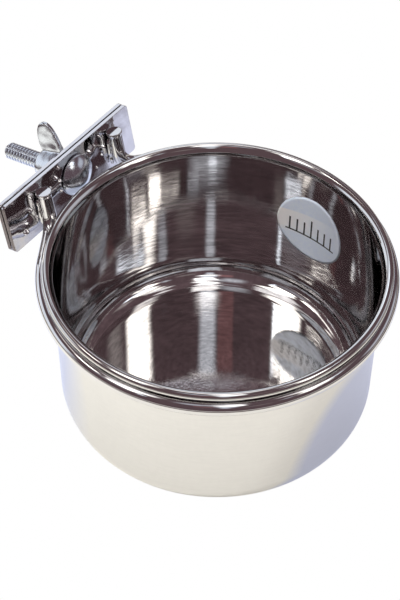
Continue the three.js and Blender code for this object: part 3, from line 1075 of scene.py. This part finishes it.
def paper(name):
    """Pale paper: plain white where it is looked at.

    In reflections it is cream by the bowl, carries a bluish painted shadow beside and behind it,
    and ends in the dark.
    """
    n = Finish(name)

    def away_from(x, y, narrow=1.0):
        """Distance on the floor from a place seen from the camera, in metres."""
        spot = CUP + VIEW_TURN @ Vector((x, y, 0))
        place = n.add("ShaderNodeMapping", vector_type="TEXTURE")
        n.feed(n.coords, place.inputs["Vector"])
        n.feed((spot.x * MM, spot.y * MM, FLOOR_Z), place.inputs["Location"])
        n.feed((0, 0, VIEW_ANGLE), place.inputs["Rotation"])
        n.feed((1 / narrow, 1, 1), place.inputs["Scale"])
        length = n.add("ShaderNodeVectorMath", operation="LENGTH")
        n.feed(place.outputs["Vector"], length.inputs[0])
        return length.outputs["Value"]

    # Painted shadow of the bowl on the paper, beside and behind it, seen only in reflections.
    beside = n.spread(away_from(*SHADOW_BESIDE_PLACE), *SHADOW_BESIDE_FADE, 1.0, 0.0)
    behind = n.spread(away_from(*SHADOW_BEHIND_PLACE), *SHADOW_BEHIND_FADE, 1.0, 0.0)
    painted_shadow = n.math("MAXIMUM", beside, behind)
    reach = away_from(*PAPER_PLACE, PAPER_NARROW)
    paper_ends = n.spread(reach, *PAPER_END, 0.0, 1.0)
    room_lightens = n.spread(reach, *ROOM_FADE, 1.0, ROOM_LEAST)
    dark = n.times(paper_ends, room_lightens)
    cream = n.tint(n.noise(n.coords, PAPER_SCALE, detail=4.0), *CREAM_PAPER)
    color = n.mix(dark, n.mix(painted_shadow, cream, PAINTED_SHADOW_PAPER), DARK_ROOM)
    n.surface(
        Base_Color=color, Emission_Color=color, Emission_Strength=PAPER_GLOW,
        Roughness=0.95, Specular_IOR_Level=0.0,
    )
    white = n.add("ShaderNodeEmission")
    n.feed((1, 1, 1), white.inputs["Color"])
    output = n.tree.nodes["Material Output"]
    n.white_to_camera(n.shader.outputs["BSDF"], white.outputs["Emission"], output)
    return n.material


floor_mesh.materials.append(paper("paper"))

# Camera, its eye in millimetres in the row frame
camera_data = bpy.data.cameras.new("camera")
camera_data.lens = 98.79
camera_data.sensor_width = 36
camera = bpy.data.objects.new("camera", camera_data)
bpy.context.scene.collection.objects.link(camera)
EYE = Vector((-227.11, -228.615, 311.012))
LOOK = Vector((0.536559, 0.40916, -0.738033))
TOP = Vector((0.583466, 0.451967, 0.674754))
RIGHT = LOOK.cross(TOP).normalized()
CAMERA_AXES = Matrix((RIGHT, TOP, -LOOK)).transposed()
camera.matrix_world = Matrix.Translation(EYE * MM) @ CAMERA_AXES.to_4x4()
bpy.context.scene.camera = camera

# Room
WALL_COLOR, BACKDROP_COLOR = (0.136, 0.09, 0.1), (1, 1, 1)
world = bpy.data.worlds.new("studio")
world.use_nodes = True
room = Tree(world.node_tree)
walls = room.tree.nodes["Background"]
room.feed(WALL_COLOR, walls.inputs["Color"])
backdrop = room.add("ShaderNodeBackground")
room.feed(BACKDROP_COLOR, backdrop.inputs["Color"])
room.white_to_camera(walls.outputs[0], backdrop.outputs[0], room.tree.nodes["World Output"])
bpy.context.scene.world = world

# Lights
LIGHT_DISTANCE = 0.5
RIM_MIDDLE = (CUP + Vector((0, 0, CUP_HEIGHT))) * MM


def soften_edges(data, soft):
    """Fades a light towards its edges, over a share of its width and of its height."""
    data.use_nodes = True
    t = Tree(data.node_tree)
    spot = t.split(t.add("ShaderNodeNewGeometry").outputs["Parametric"])
    fades = [
        t.spread(t.off(place, 0.5), 0.5 - edge, 0.5, 1.0, 0.0, shape="SMOOTHSTEP")
        for place, edge in zip(spot, soft)
    ]
    t.feed(t.times(*fades), t.tree.nodes["Emission"].inputs["Strength"])


def place_light(name, azimuth, elevation, distance, size, radiance, color, roll=0.0, soft=None):
    """A rectangular light facing the rim, its size in metres and its angles in degrees.

    Azimuth runs from straight away behind the bowl towards the camera's right.
    """
    data = bpy.data.lights.new(name, "AREA")
    data.shape = "RECTANGLE"
    data.size, data.size_y = size
    data.energy = radiance * math.pi * size[0] * size[1]
    data.color = color
    light = bpy.data.objects.new(name, data)
    bpy.context.scene.collection.objects.link(light)
    a, e = math.radians(azimuth), math.radians(elevation)
    level = math.cos(e)
    away = VIEW_TURN @ Vector((math.sin(a) * level, math.cos(a) * level, math.sin(e)))
    light.location = RIM_MIDDLE + away * distance
    light.rotation_mode = "QUATERNION"
    spin = Matrix.Rotation(math.radians(roll), 3, "Z").to_quaternion()
    light.rotation_quaternion = (-away).to_track_quat("-Z", "Y") @ spin
    light.visible_camera = False
    if soft:
        soften_edges(data, soft)
    return light


def panel(name, azimuths, elevations, radiance, color=(1, 1, 1), roll=0.0, soft=(0.2, 0.2)):
    """A softbox that fills a range of azimuths and elevations, in degrees, seen from the rim."""
    azimuth, elevation = sum(azimuths) / 2, sum(elevations) / 2
    half_width = math.tan(math.radians(azimuths[1] - azimuths[0]) / 2)
    half_height = math.tan(math.radians(elevations[1] - elevations[0]) / 2)
    width = 2 * LIGHT_DISTANCE * half_width * math.cos(math.radians(elevation))
    size = (width, 2 * LIGHT_DISTANCE * half_height)
    return place_light(name, azimuth, elevation, LIGHT_DISTANCE, size, radiance, color, roll, soft)


CREAM, COOL, PLAIN = (1.0, 0.985, 0.93), (0.82, 0.91, 1.0), (1, 1, 1)
RED = (1.0, 0.38, 0.36)
panel("left_window", (-103, -82), (43.5, 49.5), 6.0, CREAM)
panel("left_upper", (-133, -105), (46.0, 54.5), 4.6, CREAM)
panel("left_high", (-126, -95), (52, 72), 2.9, CREAM)
panel("left_bar", (-88, -54), (45.5, 49.5), 1.5, CREAM)
place_light("left_edge", -133.2, 46.5, 2.0, (0.075, 0.45), 1.9, COOL, soft=(0.2, 0.2))
panel("left_low", (-134, -102), (32, 44), 0.25, COOL)
panel("left_mid", (-111, -86), (39.5, 42.5), 0.8, CREAM)
panel("left_crown", (-105, -55), (61, 79), 1.2, PLAIN)
panel("right_window", (98, 125), (47, 56), 3.4, CREAM)
panel("right_high", (95, 121), (54, 66), 1.4, CREAM)
panel("right_glow", (76, 99), (43, 57), 0.25, CREAM, soft=(0.4, 0.3))
panel("right_bar", (93, 123), (43.2, 47), 3.0, COOL)
panel("right_strip", (118, 131), (32, 45), 3.0, CREAM, roll=25, soft=(0.3, 0.2))
panel("right_strip_two", (110, 118), (33, 43), 2.0, CREAM, roll=15)
panel("right_blue", (132, 141), (39, 48), 0.6, COOL, roll=15, soft=(0.3, 0.3))
panel("right_crown", (88, 114), (62, 74), 1.0, PLAIN)
panel("behind", (163, 182), (47, 61), 1.0, COOL, soft=(0.3, 0.2))
panel("behind_high", (150, 182), (58, 78), 2.2, PLAIN)
panel("overhead", (120, 172), (75, 90), 1.8, PLAIN)
panel("behind_low", (144, 166), (34, 43), 0.16, CREAM, soft=(0.4, 0.4))
panel("behind_streak", (169.5, 179), (36, 47.5), 0.8, COOL, soft=(0.35, 0.2))
near = place_light(
    "behind_near", 170.5, 50.0, 0.104, (0.038, 0.019), 0.052, PLAIN, soft=(0.35, 0.4))
near.data.spread = math.radians(28)
panel("away", (-16, -1), (37, 46), 1.8, COOL, soft=(0.3, 0.25))
panel("away_wide", (-46, 18), (39, 48), 0.95, COOL, soft=(0.3, 0.3))
panel("away_bar", (-46, -27), (45.5, 48.7), 1.2, COOL)
panel("away_high", (-18, 18), (56, 73), 1.7, PLAIN)
panel("overhead_away", (-6, 24), (68, 90), 1.5, PLAIN)
panel("away_low", (-38, 6), (4, 40), 1.1, COOL, soft=(0.15, 0.12))
panel("left_fill", (-104, -34), (-6, 25), 1.1, COOL, soft=(0.2, 0.15))
panel("red_card", (-180, -165), (46, 58), 0.14, RED, soft=(0.15, 0.2))
panel("near_high", (-184, -136), (57, 86), 0.6, COOL, soft=(0.4, 0.45))
panel("right_fill", (52, 98), (4, 31), 0.6, COOL, soft=(0.25, 0.25))
key = place_light("key_lamp", -95, 48, LIGHT_DISTANCE, (0.14, 0.14), 11.0, PLAIN)
key.visible_glossy = False
lamp = place_light("floor_lamp", 0, 89.9, 1.0, (2.0, 2.0), 1.0, PLAIN)
lamp.visible_glossy = False

bpy.context.scene.view_settings.view_transform = "Standard"
